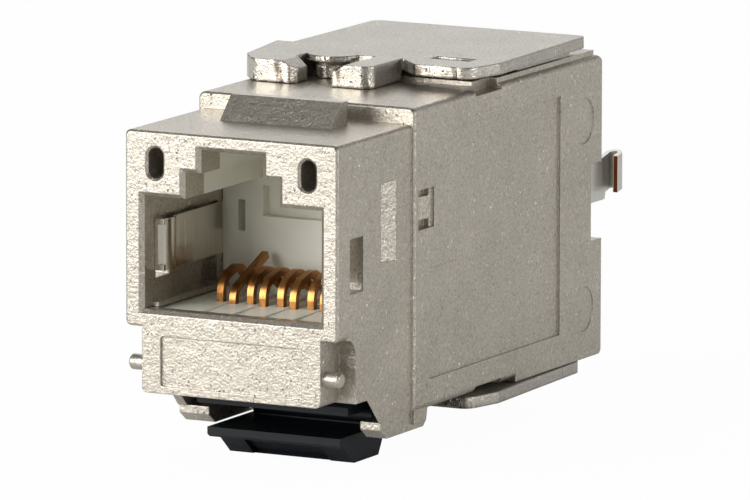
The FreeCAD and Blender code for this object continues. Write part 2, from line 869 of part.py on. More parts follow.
def make_idc_block():
    front = board_front() + board_thickness
    half = cavity_half - board_margin
    back = front + idc_block_length
    middle = (cavity_top + cavity_bottom) / 2
    tower = idc_tower_height / 2
    block = box(-half, half, front, back, cavity_bottom + board_margin, cavity_top - board_margin)
    front_of_gap = back - idc_slit_length - idc_gap_room
    rows = idc_row_offset
    bands = ((middle - rows + tower, middle + rows - tower), (middle + rows + tower, cavity_top + 1),
             (cavity_bottom - 1, middle - rows - tower))
    cuts = [box(-half - 1, half + 1, front_of_gap, back + 1, low, high) for low, high in bands]
    for x, z in idc_places():
        cuts.append(idc_void(x, z, idc_slot_gap))
        cuts.append(box(x - idc_slit, x + idc_slit, front_of_gap, back + 1, z - tower - 1, z + tower + 1))
    return block.cut(cuts)


def make_idc_contact(x, z):
    """Flat blade with a forked end that bites through the wire's skin."""
    front = board_front() + board_thickness
    half = idc_contact_width / 2
    thick = idc_contact_thickness / 2
    end = front + idc_contact_length
    blade = box(x - half, x + half, front, end, z - thick, z + thick)
    slit = box(x - idc_slit / 2, x + idc_slit / 2, end - idc_slit_length, end + 1, z - 1, z + 1)
    throat = end - idc_mouth_length
    wide = half * idc_mouth_share
    mouth = prism_z([(x - idc_slit / 2, throat), (x + idc_slit / 2, throat), (x + wide, end + 0.01),
                     (x - wide, end + 0.01)], z - 1, z + 1)
    return blade.cut([slit, mouth])


def manager_front():
    return board_front() + board_thickness + idc_block_length + manager_gap


def make_wire_manager():
    front = manager_front()
    back = front + manager_length
    half = cavity_half - board_margin
    middle = (cavity_top + cavity_bottom) / 2
    block = box(-half, half, front, back, cavity_bottom + board_margin, cavity_top - board_margin)
    block = round_along_y(block, manager_corner)
    bore = cylinder_y(cable_radius, back - cable_bore_depth, back + 1, 0, middle)
    funnel = Part.makeCone(cable_radius - funnel_length, cable_radius, funnel_length,
                           Vector(0, back - cable_bore_depth - funnel_length, middle), Vector(0, 1, 0))
    cuts = [bore, funnel]
    side = wire_channel_width / 2
    for x, z in idc_places():
        low, high = (z - side, cavity_top + 1) if z > middle else (cavity_bottom - 1, z + side)
        cuts.append(box(x - side, x + side, front - 1, front + wire_channel_length, low, high))
    flank = box(half - manager_flank_depth, half + 1, front + manager_flank_setback, back + 1,
                middle - manager_flank_half, middle + manager_flank_half)
    cuts += both_sides(flank)
    return block.cut(cuts)


def make_arm(z0, z1, back):
    """Plate of one arm, widest behind its front corner and rounded at its rear corners."""
    shoulder = arm_front + arm_shoulder
    plan = [(arm_half_front - arm_front_taper, arm_front), (arm_half_front, shoulder), (arm_half_back, back),
            (-arm_half_back, back), (-arm_half_back - arm_left_flare, shoulder),
            (-arm_half_back + arm_left_taper, arm_front)]
    plate = prism_z(plan, z0, z1)
    rear = edges_along(plate, Vector(0, 0, 1), lambda m: m.y > back - 0.01)
    front = edges_along(plate, Vector(0, 0, 1), lambda m: m.y < arm_front + 0.01)
    return plate.makeFillet(arm_corner, rear).makeFillet(arm_shoulder_round, front)


def make_prong(x0, x1, jog, bevel_inner):
    """Thick finger at the front of the top arm, bevelled along its inner top edge."""
    top = arm_top()
    front = arm_front - fork_reach
    root = arm_front + fork_root
    jog_y = arm_front + prong_jog
    if jog:
        neck = x1 - prong_neck
        head = front + prong_head
        plan = [(x0 + prong_toe, front), (x1 - prong_chamfer, front), (x1, front + prong_chamfer * 1.4),
                (x1, head), (neck, head + prong_neck / 2), (neck, root), (neck - prong_root_step, jog_y),
                (x0 - 0.2, jog_y), (x0 + prong_toe_side, front + prong_toe_back)]
    else:
        plan = [(x0, front), (x1, front), (x1, root), (x0, root)]
    prong = prism_z(plan, top - fork_depth, top)
    outer = edges_along(prong, Vector(0, 0, 1),
                        lambda m: m.y < front + 2 and (m.x < x0 + 2 if jog else m.x > x1 - 0.1))
    prong = prong.makeFillet(left_prong_round if jog else prong_round, outer)
    inner_x = x1 if bevel_inner > 0 else x0
    run = prong_bevel * bevel_inner
    corners = [(inner_x - run, top + 0.01), (inner_x + run, top + 0.01),
               (inner_x + run, top - prong_bevel * 1.1)]
    loop = [Vector(x, front - 1, z) for x, z in corners]
    wedge = Part.Face(Part.makePolygon(loop + loop[:1]))
    return prong.cut(wedge.extrude(Vector(0, root - front + 1, 0)))


def arm_bottom():
    return body_top + deck_rise + arm_gap


def arm_top():
    return arm_bottom() + arm_thickness


def make_tongue():
    """Rounded nose of the plate between the prongs, on its conical neck and post."""
    top = arm_top()
    bottom = arm_bottom()
    tip = arm_front + tongue_reach
    reach = tip + tongue_crown
    back = arm_front + tongue_back
    left = Vector(fork_center - tongue_half, reach, 0)
    right = Vector(fork_center + tongue_half, reach, 0)
    crown = Part.Arc(left, Vector(fork_center, tip, 0), right).toShape()
    rear_left = Vector(fork_center - tongue_half, back, 0)
    rear_right = Vector(fork_center + tongue_half, back, 0)
    wire = Part.Wire([crown, Part.makeLine(right, rear_right), Part.makeLine(rear_right, rear_left),
                      Part.makeLine(rear_left, left)])
    lip = Part.Face(wire).extrude(Vector(0, 0, tongue_lip))
    lip.translate(Vector(0, 0, top - tongue_lip))
    center = arm_front + post_setback
    foot = body_top + arm_bottom_gap
    shoulder = bottom + neck_start
    post = Part.makeCylinder(post_radius, shoulder + 0.05 - foot, Vector(fork_center, center, foot))
    neck = Part.makeCone(post_radius, tongue_half - 0.1, top - tongue_lip - shoulder,
                         Vector(fork_center, center + neck_setback, shoulder))
    return [lip, post, neck]


def make_rear_cap():
    top_arm = make_arm(arm_bottom(), arm_top(), arm_back)
    root = arm_front + fork_root
    edge = right_prong[1] + 0.3
    low = arm_bottom() - 1
    high = arm_top() + 1
    fork_room = box(left_prong[0] - 1, edge, arm_front - 1, root, low, high)
    shoulder_room = prism_z([(edge - 0.5, arm_front - 1), (edge + fork_shoulder, arm_front - 1),
                             (edge + fork_shoulder, arm_front), (edge, arm_front + fork_shoulder),
                             (edge - 0.5, arm_front + fork_shoulder)], low, high)
    top_arm = top_arm.cut([fork_room, shoulder_room])
    bottom_face = body_bottom - floor_rise - arm_bottom_gap
    bottom_arm = make_arm(bottom_face - arm_thickness, bottom_face, bottom_arm_back)
    slant = prism_x([(bottom_arm_back - bottom_arm_slant, bottom_face - arm_thickness - 0.01),
                     (bottom_arm_back + 0.01, bottom_face - arm_thickness - 0.01),
                     (bottom_arm_back + 0.01, bottom_face)], -arm_half_front, arm_half_front)
    bottom_arm = bottom_arm.cut(slant)
    wall_back = body_back - cap_wall_inset
    wall = box(-cap_wall_half, cap_wall_half, wall_back - cap_wall, wall_back,
               bottom_face - arm_thickness / 2, arm_bottom() + arm_thickness / 2)
    ribs = []
    for x in (-arm_half_back, arm_half_back - rib_width):
        ribs.append(box(x, x + rib_width, arm_front + rib_front, arm_back - rib_back,
                        arm_bottom() - rib_height, arm_bottom() + 0.1))
    pieces = [bottom_arm, wall] + ribs + make_tongue()
    pieces.append(make_prong(left_prong[0], left_prong[1], True, 1))
    pieces.append(make_prong(right_prong[0], right_prong[1], False, -1))
    cap = top_arm.fuse(pieces)
    middle = (cavity_top + cavity_bottom) / 2
    deck_front = nose_length + deck_start - arm_bottom_gap
    over_deck = box(-arm_half_front, arm_half_front, deck_front, wall_back - cap_wall - 1, body_top - 1,
                    body_top + deck_rise + arm_bottom_gap)
    slot_y = arm_front + arm_slot_setback
    slot = box(arm_slot_x - arm_slot_length / 2, arm_slot_x + arm_slot_length / 2,
               slot_y - arm_slot_width / 2, slot_y + arm_slot_width / 2, arm_top() - 0.4, high)
    bore = cylinder_y(cable_radius, wall_back - cap_wall - 1, wall_back + 1, 0, middle)
    return cap.cut([over_deck, slot, bore])


def cap_wall_room():
    """Space in the deck and floor of the housing for the rear wall of the cap."""
    wall_back = body_back - cap_wall_inset
    side = cap_wall_half + seat_clearance
    front = wall_back - cap_wall - seat_clearance
    return box(-side, side, front, body_back + 1, body_bottom - 2, body_top + 2)


def make_clip():
    """Bent sheet spring behind the cap wall: a slotted plate with an ear and a hook on each side."""
    t = clip_thickness
    middle = (cavity_top + cavity_bottom) / 2
    front = body_back - rear_notch_depth + clip_gap
    bottom = nose_top - clip_plate_bottom_drop
    plate = box(-clip_plate_half, clip_plate_half, front, front + t,
                bottom, nose_top - clip_plate_top_drop)
    cable = cylinder_y(clip_slot_half, front - 1, front + 1, 0, middle)
    slot = box(-clip_slot_half, clip_slot_half, front - 1, front + 1, bottom - 1, middle)
    return plate.cut([cable, slot]).fuse(both_sides(make_clip_ear(front)))


def make_clip_ear(front):
    """Ear of the clip: a flat leaf through the side notch, folded back on itself at its end."""
    t = clip_thickness
    x = cavity_half
    top = nose_top - clip_ear_top_drop
    low = top - clip_ear_height
    fold_y = body_back + clip_ear_reach
    bend = clip_hook_radius
    center = Vector(x + t + bend, fold_y, low - 1)
    tall = clip_ear_height + clip_ear_rise + 2
    fold = Part.makeCylinder(bend + t, tall, center).cut(Part.makeCylinder(bend, tall, center))
    fold = fold.cut(box(x - 1, x + 3, fold_y - 2, fold_y, low - 2, low + tall + 2))
    flange_x = x + t + 2 * bend
    flange = box(flange_x, flange_x + t, fold_y - clip_hook_return, fold_y, low - 1, low - 1 + tall)
    leaf = box(x, x + t, front, fold_y, low - 1, low - 1 + tall)
    foot = box(clip_plate_half - 0.5, x + t, front, front + t, low - 1, low - 1 + tall)
    hook_y = fold_y - clip_hook_return
    side = [(front, top), (body_back + clip_leaf_run, top), (fold_y + 1, top + clip_ear_rise),
            (fold_y + 1, low + clip_fold_rise), (hook_y, low + clip_return_rise),
            (hook_y - clip_return_slant, low), (front, low)]
    return leaf.fuse([fold, flange, foot]).common(prism_x(side, clip_plate_half - 1, flange_x + 1))


def make_latch():
    """Black latch in one moulding: lip plate, keel with a sunken field, barrel and spring finger."""
    top = nose_top - latch_plate_top
    under = top - latch_plate_thickness
    keel_bottom = under - latch_keel_depth
    plate = prism_x([(latch_front, top), (latch_front, under + latch_lip_rise),
                     (latch_front + latch_lip_bevel, under), (latch_back, under), (latch_back, top)],
                    -latch_left, latch_right)
    keel = prism_x([(latch_keel_front, under + 0.1), (latch_keel_front, under),
                    (latch_keel_toe, keel_bottom), (latch_back - latch_keel_heel, keel_bottom),
                    (latch_back, under - latch_heel_drop), (latch_back, under + 0.1)],
                   -latch_keel_half, latch_keel_half)
    slope = math.atan2(latch_keel_depth, latch_keel_toe - latch_keel_front)
    dip = latch_pocket_depth / math.cos(slope)
    field_y = latch_keel_front + latch_pocket_front
    field_top = under - latch_pocket_top
    field_bottom = keel_bottom + latch_pocket_bottom
    field = prism_x([(field_y - dip, field_top), (field_y, field_top + dip),
                     (latch_keel_toe + dip, field_bottom), (latch_keel_toe, field_bottom - dip)],
                    -latch_pocket_half, latch_pocket_half)
    axis_z = nose_top - pin_drop
    barrel = cylinder_x(pin_radius + barrel_wall, -latch_web_left, latch_web_right, pin_y, axis_z)
    low = finger_underside()
    high = low + finger_thickness
    neck_back = latch_back - latch_neck_inset
    finger = prism_x([(finger_front, low), (neck_back, low), (neck_back, high),
                      (finger_front + finger_nose_run, high), (finger_front, high - finger_nose_drop)],
                     -finger_left, finger_right)
    root = pin_y - finger_root
    finger = finger.cut([box(latch_web_right, finger_right + 1, root, latch_back + 1, low - 1, high + 1),
                         box(-finger_left - 1, -latch_web_left, root, latch_back + 1, low - 1, high + 1)])
    web = box(-latch_web_left, latch_web_right, pin_y - latch_web_front, neck_back, top - 0.1, low + 0.1)
    bore = cylinder_x(pin_radius + pin_running_gap, -latch_left - 1, latch_right + 1, pin_y, axis_z)
    return plate.fuse([keel, barrel, finger, web]).cut([field, bore])


def make_latch_pin():
    return cylinder_x(pin_radius, -left_foot_outer + pin_end_inset, nose_half - pin_end_inset,
                      pin_y, nose_top - pin_drop)


save("housing", make_housing().cut(cap_wall_room()))
save("port_insert", make_insert())
save("contact_carrier", make_carrier())
for number in range(contact_count):
    save("contact_%d" % (number + 1), make_contact(number))
left_spring = make_shield_spring()
save("shield_spring_left", left_spring)
save("shield_spring_right", left_spring.mirror(Vector(0, 0, 0), Vector(1, 0, 0)))
save("circuit_board", make_board())
save("idc_block", make_idc_block())
for number, place in enumerate(idc_places()):
    save("idc_contact_%d" % (number + 1), make_idc_contact(place[0], place[1]))
save("wire_manager", make_wire_manager())
save("rear_cap", make_rear_cap())
save("cable_clip", make_clip())
save("latch", make_latch())
save("latch_pin", make_latch_pin())
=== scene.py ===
import math
import bpy
from mathutils import Matrix, Vector


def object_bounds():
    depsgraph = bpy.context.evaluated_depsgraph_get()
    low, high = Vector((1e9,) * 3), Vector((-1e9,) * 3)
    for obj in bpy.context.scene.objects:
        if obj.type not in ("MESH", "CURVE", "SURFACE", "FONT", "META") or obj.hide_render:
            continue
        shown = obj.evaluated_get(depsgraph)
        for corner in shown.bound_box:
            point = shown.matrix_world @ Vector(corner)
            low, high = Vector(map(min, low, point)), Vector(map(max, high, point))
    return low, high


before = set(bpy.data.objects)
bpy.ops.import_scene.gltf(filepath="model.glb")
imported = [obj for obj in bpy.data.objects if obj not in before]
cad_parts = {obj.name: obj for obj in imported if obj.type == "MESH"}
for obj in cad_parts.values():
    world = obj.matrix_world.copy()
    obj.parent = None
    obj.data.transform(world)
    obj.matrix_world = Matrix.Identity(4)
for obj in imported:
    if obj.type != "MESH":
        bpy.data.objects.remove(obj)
cad_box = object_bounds()
bpy.context.scene.view_settings.view_transform = "Standard"

# Studio floor: a matt white board with a fine paper tooth and no gloss, laid just under the part.
# The camera sees most of it as plain white, with the part's own soft shadow left on it. All sizes,
# here and below, are in metres.
floor_span = 2.4
floor_gap = 0.00005
floor_z = cad_box[0][2] - floor_gap
half = floor_span / 2
corners = [(-half, -half, floor_z), (half, -half, floor_z), (half, half, floor_z), (-half, half, floor_z)]
mesh = bpy.data.meshes.new("studio_floor")
mesh.from_pydata(corners, [], [(0, 1, 2, 3)])
floor = bpy.data.objects.new("studio_floor", mesh)
bpy.context.scene.collection.objects.link(floor)


def paint(code):
    """Turn an sRGB hex colour into Blender's linear colour."""
    parts = [int(code[start:start + 2], 16) / 255 for start in (1, 3, 5)]
    linear = [part / 12.92 if part <= 0.04045 else ((part + 0.055) / 1.055) ** 2.4 for part in parts]
    return (*linear, 1.0)


def add(tree, kind, settings, sockets):
    """Add a node with its settings, and give each named or numbered socket a value or a link.

    A Mix node's sockets go by number: 0 is the share, 2 and 3 blend numbers, 4 and 5 blend vectors
    (out at 1), and 6 and 7 blend colours (out at 2).
    """
    made = tree.nodes.new(kind)
    for name, value in settings.items():
        setattr(made, name, value)
    for key, value in sockets.items():
        if isinstance(value, bpy.types.NodeSocket):
            tree.links.new(value, made.inputs[key])
        else:
            made.inputs[key].default_value = value
    return made


def fresh_material(name):
    """New node material with its shader and the Object coordinates that its patterns follow."""
    material = bpy.data.materials.new(name)
    material.use_nodes = True
    tree = material.node_tree
    place = add(tree, "ShaderNodeTexCoord", {}, {}).outputs["Object"]
    return material, tree, tree.nodes["Principled BSDF"], place


tooth_size = 0.0012
plain_share = 0.97
material, tree, shader, place = fresh_material("matt_white_board")
tooth = add(tree, "ShaderNodeTexNoise", {}, {"Vector": place, "Scale": 1 / tooth_size, "Detail": 2})
tone = add(tree, "ShaderNodeMix", {"data_type": "RGBA"},
           {0: tooth.outputs["Fac"], 6: paint("#E9E9E8"), 7: paint("#F1F1F0")})
tree.links.new(tone.outputs[2], shader.inputs["Base Color"])
shader.inputs["Roughness"].default_value = 0.9
shader.inputs["Specular IOR Level"].default_value = 0.1
rays = add(tree, "ShaderNodeLightPath", {}, {})
plain = add(tree, "ShaderNodeMath", {"operation": "MULTIPLY"},
            {0: rays.outputs["Is Camera Ray"], 1: plain_share})
white = add(tree, "ShaderNodeEmission", {}, {"Color": paint("#FFFFFF"), "Strength": 1.0})
blend = add(tree, "ShaderNodeMixShader", {}, {0: plain.outputs[0], 1: shader.outputs[0], 2: white.outputs[0]})
tree.links.new(blend.outputs[0], tree.nodes["Material Output"].inputs["Surface"])
floor.data.materials.append(material)

# Studio light: a large softbox low at the front left, a weaker one behind at the left, one level with
# the part at the right, and a small strip above the front for the bright upper edges.
light_centre = Vector((0.0, 0.015, 0.0))


def softbox(name, azimuth, elevation, distance, width, height, power):
    """Area lamp that looks at the part from an azimuth and elevation in degrees."""
    data = bpy.data.lights.new(name, "AREA")
    data.shape = "RECTANGLE"
    data.size = width
    data.size_y = height
    data.energy = power
    lamp = bpy.data.objects.new(name, data)
    bpy.context.scene.collection.objects.link(lamp)
    turn = math.radians(azimuth)
    rise = math.radians(elevation)
    away = Vector((math.sin(turn) * math.cos(rise), -math.cos(turn) * math.cos(rise), math.sin(rise)))
    aim = away.to_track_quat("Z", "Y").to_matrix().to_4x4()
    lamp.matrix_world = Matrix.Translation(light_centre + away * distance) @ aim


softbox("front_softbox", azimuth=-32, elevation=13, distance=0.5, width=0.42, height=0.36, power=2.8)
softbox("back_softbox", azimuth=-150, elevation=30, distance=0.6, width=0.5, height=0.3, power=0.6)
softbox("right_softbox", azimuth=98, elevation=6, distance=0.5, width=0.5, height=0.3, power=1.3)
softbox("top_strip", azimuth=-20, elevation=60, distance=0.5, width=0.1, height=0.06, power=0.16)

# Studio room that the metal mirrors: pale walls, a dark ceiling, and two dark gaps between the lamps,
# one in front at the right and one at the left. Matt faces get an even light from it.
wall_level = 0.66
ceiling_level = 0.06
ceiling_start = 0.2
ceiling_full = 0.65
matt_level = 0.4
gap_level = 0.1
# Each gap has its azimuth in degrees, and the cosines of the angles where it starts and is darkest.
gaps = ((20, 0.8, 0.94), (-98, 0.62, 0.86))
world = bpy.data.worlds.new("studio_room")
bpy.context.scene.world = world
world.use_nodes = True
tree = world.node_tree
toward = add(tree, "ShaderNodeTexCoord", {}, {}).outputs["Generated"]
height = add(tree, "ShaderNodeSeparateXYZ", {}, {0: toward})
room = add(tree, "ShaderNodeMapRange", {"interpolation_type": "SMOOTHSTEP"},
           {"Value": height.outputs["Z"], "From Min": ceiling_start, "From Max": ceiling_full,
            "To Min": wall_level, "To Max": ceiling_level})
for gap_azimuth, gap_start, gap_full in gaps:
    turn = math.radians(gap_azimuth)
    gap_middle = (math.sin(turn), -math.cos(turn), 0.0)
    near = add(tree, "ShaderNodeVectorMath", {"operation": "DOT_PRODUCT"}, {0: toward, 1: gap_middle})
    dark = add(tree, "ShaderNodeMapRange", {"interpolation_type": "SMOOTHSTEP"},
               {"Value": near.outputs["Value"], "From Min": gap_start, "From Max": gap_full,
                "To Min": 1.0, "To Max": gap_level})
    room = add(tree, "ShaderNodeMath", {"operation": "MULTIPLY"}, {0: room.outputs[0], 1: dark.outputs[0]})
rays = add(tree, "ShaderNodeLightPath", {}, {})
direct = add(tree, "ShaderNodeMath", {"operation": "MAXIMUM"},
             {0: rays.outputs["Is Camera Ray"], 1: rays.outputs["Is Transmission Ray"]})
mirrored = add(tree, "ShaderNodeMix", {},
               {0: rays.outputs["Is Glossy Ray"], 2: matt_level, 3: room.outputs[0]})
level = add(tree, "ShaderNodeMix", {}, {0: direct.outputs[0], 2: mirrored.outputs[0], 3: 1.0})
backdrop = tree.nodes["Background"]
backdrop.inputs["Color"].default_value = paint("#FFFFFF")
tree.links.new(level.outputs[0], backdrop.inputs["Strength"])

# Camera: a long lens at the front right, a little above the part, fitted to the photo's straight edges.
# Its three axes and its place are in the part's own frame.
camera_data = bpy.data.cameras.new("camera")
camera = bpy.data.objects.new("camera", camera_data)
bpy.context.scene.collection.objects.link(camera)
azimuth = math.radians(27.553)
elevation = math.radians(9.487)
roll = math.radians(0.121)
right = Vector((math.cos(azimuth), math.sin(azimuth), 0.0))
forward = Vector((-math.sin(azimuth) * math.cos(elevation), math.cos(azimuth) * math.cos(elevation),
                  -math.sin(elevation)))
level_up = right.cross(forward)
right_axis = math.cos(roll) * right + math.sin(roll) * level_up
up_axis = -math.sin(roll) * right + math.cos(roll) * level_up
stand = Vector((0.288336, -0.534282, 0.102098))
camera.matrix_world = Matrix((
    (right_axis.x, up_axis.x, -forward.x, stand.x),
    (right_axis.y, up_axis.y, -forward.y, stand.y),
    (right_axis.z, up_axis.z, -forward.z, stand.z),
    (0.0, 0.0, 0.0, 1.0)))
camera_data.sensor_width = 36.0
camera_data.lens = 501.69
camera_data.clip_start = 0.05
bpy.context.scene.camera = camera

# Housing: one zinc die casting, tumbled and satin nickel plated. The tumbling leaves a fine grit over
# a softer orange peel, so the skin sparkles and no face is quite even. The real grit is finer than the
# picture can show: grit, flecks, pits and glints are drawn as coarse as they need to be.
peel_size = 0.0005
peel_depth = 0.00003
grit_size = 0.00015
grit_depth = 0.000029
grit_strength = 0.9
grit_dark = 0.35
grit_pale = 0.68
pit_start = 0.34
pit_full = 0.26
pit_share = 0.45
fleck_size = 0.00012
fleck_start = 0.88
fleck_full = 0.98
fleck_rough = 0.2
glint_start = 0.945
glint_full = 0.98
glint_tilt = 0.6
patch_size = 0.004
patch_low = 0.3
patch_high = 0.7
patch_dim = 0.94
patch_bright = 1.05
housing_edge = 0.00009


def coat(node_name, material):
    """Give a CAD node its finish."""
    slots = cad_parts[node_name].data.materials
    slots.clear()
    slots.append(material)


def cast_zinc(name, pale, dark, rough, peel_strength, edge_radius):
    """Tumbled zinc casting: peel and grit in the bump, bright flecks, dark pits, a slow change of tone."""
    material, tree, shader, place = fresh_material(name)
    peel = add(tree, "ShaderNodeTexNoise", {}, {"Vector": place, "Scale": 1 / peel_size, "Detail": 1})
    grit = add(tree, "ShaderNodeTexNoise", {}, {"Vector": place, "Scale": 1 / grit_size, "Detail": 2})
    fleck = add(tree, "ShaderNodeTexVoronoi", {}, {"Vector": place, "Scale": 1 / fleck_size})
    patch = add(tree, "ShaderNodeTexNoise", {}, {"Vector": place, "Scale": 1 / patch_size, "Detail": 4})

    # Colour: grit blends the two tones, patches dim and lift them, then come the flecks and the pits.
    mixed = add(tree, "ShaderNodeMapRange", {},
                {"Value": grit.outputs["Fac"], "From Min": grit_dark, "From Max": grit_pale})
    tone = add(tree, "ShaderNodeMix", {"data_type": "RGBA"},
               {0: mixed.outputs[0], 6: paint(dark), 7: paint(pale)})
    shade = add(tree, "ShaderNodeMapRange", {},
                {"Value": patch.outputs["Fac"], "From Min": patch_low, "From Max": patch_high,
                 "To Min": patch_dim, "To Max": patch_bright})
    toned = add(tree, "ShaderNodeMix", {"data_type": "RGBA", "blend_type": "MULTIPLY"},
                {0: 1.0, 6: tone.outputs[2], 7: shade.outputs[0]})
    bright = add(tree, "ShaderNodeMapRange", {},
                 {"Value": fleck.outputs["Color"], "From Min": fleck_start, "From Max": fleck_full})
    flecked = add(tree, "ShaderNodeMix", {"data_type": "RGBA"},
                  {0: bright.outputs[0], 6: toned.outputs[2], 7: paint("#E8E4DB")})
    pits = add(tree, "ShaderNodeMapRange", {},
               {"Value": grit.outputs["Fac"], "From Min": pit_start, "From Max": pit_full,
                "To Max": pit_share})
    pitted = add(tree, "ShaderNodeMix", {"data_type": "RGBA"},
                 {0: pits.outputs[0], 6: flecked.outputs[2], 7: paint("#4A4640")})
    tree.links.new(pitted.outputs[2], shader.inputs["Base Color"])

    # Shine: satin metal, brighter where a fleck is.
    shader.inputs["Metallic"].default_value = 0.85
    gloss = add(tree, "ShaderNodeMapRange", {},
                {"Value": bright.outputs[0], "To Min": rough, "To Max": fleck_rough})
    tree.links.new(gloss.outputs[0], shader.inputs["Roughness"])

    # Relief: tumbled edges, peel, grit, and a few flecks that lean over and catch the light. A fleck's
    # random colour runs from 0 to 1, and with half taken off it leans either way.
    edge = add(tree, "ShaderNodeBevel", {"samples": 6}, {"Radius": edge_radius})
    coarse = add(tree, "ShaderNodeBump", {},
                 {"Strength": peel_strength, "Distance": peel_depth,
                  "Height": peel.outputs["Fac"], "Normal": edge.outputs[0]})
    fine = add(tree, "ShaderNodeBump", {},
               {"Strength": grit_strength, "Distance": grit_depth,
                "Height": grit.outputs["Fac"], "Normal": coarse.outputs[0]})
    cell = add(tree, "ShaderNodeTexWhiteNoise", {"noise_dimensions": "3D"},
               {"Vector": fleck.outputs["Position"]})
    lean = add(tree, "ShaderNodeVectorMath", {"operation": "SUBTRACT"},
               {0: cell.outputs["Color"], 1: (0.5, 0.5, 0.5)})
    glint = add(tree, "ShaderNodeMapRange", {},
                {"Value": cell.outputs["Value"], "From Min": glint_start, "From Max": glint_full,
                 "To Max": glint_tilt})
    facet = add(tree, "ShaderNodeVectorMath", {"operation": "SCALE"},
                {0: lean.outputs[0], "Scale": glint.outputs[0]})
    turned = add(tree, "ShaderNodeVectorMath", {"operation": "ADD"},
                 {0: fine.outputs[0], 1: facet.outputs[0]})
    normal = add(tree, "ShaderNodeVectorMath", {"operation": "NORMALIZE"}, {0: turned.outputs[0]})
    tree.links.new(normal.outputs[0], shader.inputs["Normal"])
    return material


coat("housing", cast_zinc("satin_cast_zinc", pale="#C3BCB0", dark="#ABA498", rough=0.36, peel_strength=0.9,
                          edge_radius=housing_edge))

# Port insert and contact carrier: moulded in off-white PBT and pushed into the housing from behind.
# The plastic is slightly warm in tone, softly uneven where it sank, and satin from the mould. Its
# skin is finer than the picture can show, so it is drawn coarser.
sink_size = 0.003
skin_strength = 0.2
skin_shinier = 0.06
skin_duller = 0.08


def moulded(name, pale, dark, rough, grain, depth):
    """Moulded plastic: faint cloudy tone and a fine moulded skin."""
    material, tree, shader, place = fresh_material(name)
    cloud = add(tree, "ShaderNodeTexNoise", {}, {"Vector": place, "Scale": 1 / sink_size, "Detail": 3})
    tone = add(tree, "ShaderNodeMix", {"data_type": "RGBA"},
               {0: cloud.outputs["Fac"], 6: paint(dark), 7: paint(pale)})
    tree.links.new(tone.outputs[2], shader.inputs["Base Color"])
    skin = add(tree, "ShaderNodeTexNoise", {}, {"Vector": place, "Scale": 1 / grain, "Detail": 2})
    gloss = add(tree, "ShaderNodeMapRange", {},
                {"Value": skin.outputs["Fac"],
                 "To Min": rough - skin_shinier, "To Max": rough + skin_duller})
    tree.links.new(gloss.outputs[0], shader.inputs["Roughness"])
    bump = add(tree, "ShaderNodeBump", {},
               {"Strength": skin_strength, "Distance": depth, "Height": skin.outputs["Fac"]})
    tree.links.new(bump.outputs[0], shader.inputs["Normal"])
    return material


off_white = moulded("off_white_pbt", pale="#EDECE0", dark="#DFDDCF", rough=0.45, grain=0.0002, depth=0.00001)
coat("port_insert", off_white)
coat("contact_carrier", off_white)

# Sprung contacts: drawn bronze wire, bent to shape and plated with gold, each one in its own groove of
# the carrier. Drawing leaves lines along the wire, which the plating follows. They are finer than the
# picture can show, so they are drawn wider.
line_depth = 0.00001
line_strength = 0.15
line_shinier = 0.06
line_duller = 0.1


def drawn_metal(name, pale, dark, rough, line, stretch):
    """Rolled or drawn metal: fine lines, long on the axis where stretch is small, over a bright base."""
    material, tree, shader, place = fresh_material(name)
    along = add(tree, "ShaderNodeMapping", {}, {"Vector": place, "Scale": stretch})
    lines = add(tree, "ShaderNodeTexNoise", {}, {"Vector": along.outputs[0], "Scale": 1 / line, "Detail": 3})
    tone = add(tree, "ShaderNodeMix", {"data_type": "RGBA"},
               {0: lines.outputs["Fac"], 6: paint(dark), 7: paint(pale)})
    tree.links.new(tone.outputs[2], shader.inputs["Base Color"])
    shader.inputs["Metallic"].default_value = 1.0
    gloss = add(tree, "ShaderNodeMapRange", {},
                {"Value": lines.outputs["Fac"],
                 "To Min": rough - line_shinier, "To Max": rough + line_duller})
    tree.links.new(gloss.outputs[0], shader.inputs["Roughness"])
    bump = add(tree, "ShaderNodeBump", {},
               {"Strength": line_strength, "Distance": line_depth, "Height": lines.outputs["Fac"]})
    tree.links.new(bump.outputs[0], shader.inputs["Normal"])
    return material


gold = drawn_metal("gold_plated_wire", pale="#CF9A5B", dark="#82491F", rough=0.28, line=0.0002,
                   stretch=(1.0, 0.15, 0.4))
for number in range(1, 9):
    coat("contact_%d" % number, gold)

# Shield springs: thin bright sheet, rolled, stamped and bent, one on each side wall of the port. They
# press on the shield of a plug, and the lines of the rolling run upright on them.
spring = drawn_metal("bright_spring_sheet", pale="#D6D1C4", dark="#A9A294", rough=0.22, line=0.00025,
                     stretch=(1.0, 1.0, 0.12))
coat("shield_spring_left", spring)
coat("shield_spring_right", spring)

# Circuit board: green glass laminate, cut to size and set upright behind the insert. It joins the
# contacts to the wire blades. The weave just shows, as a skin with grains as wide as its threads.
coat("circuit_board", moulded("green_glass_laminate", pale="#2F6B45", dark="#255638", rough=0.35,
                              grain=0.0003, depth=0.00001))

# Wire block and its blades: the block is moulded in the insert's plastic. The eight slotted blades
# that cut into the wires are stamped from tinned bronze and pressed into it.
coat("idc_block", off_white)
tinned = drawn_metal("tinned_bronze", pale="#D9D6CE", dark="#B9B5AA", rough=0.3, line=0.0002,
                     stretch=(1.0, 0.2, 1.0))
for number in range(1, 9):
    coat("idc_contact_%d" % number, tinned)

# Wire manager: moulded in pale polycarbonate, milky where it is thick, and glossy from a polished
# mould. It leads the wires from the cable to the blades and is pressed over the block.
coat("wire_manager", moulded("pale_clear_polycarbonate", pale="#D4DCE2", dark="#C4CDD4", rough=0.25,
                             grain=0.0004, depth=0.000005))

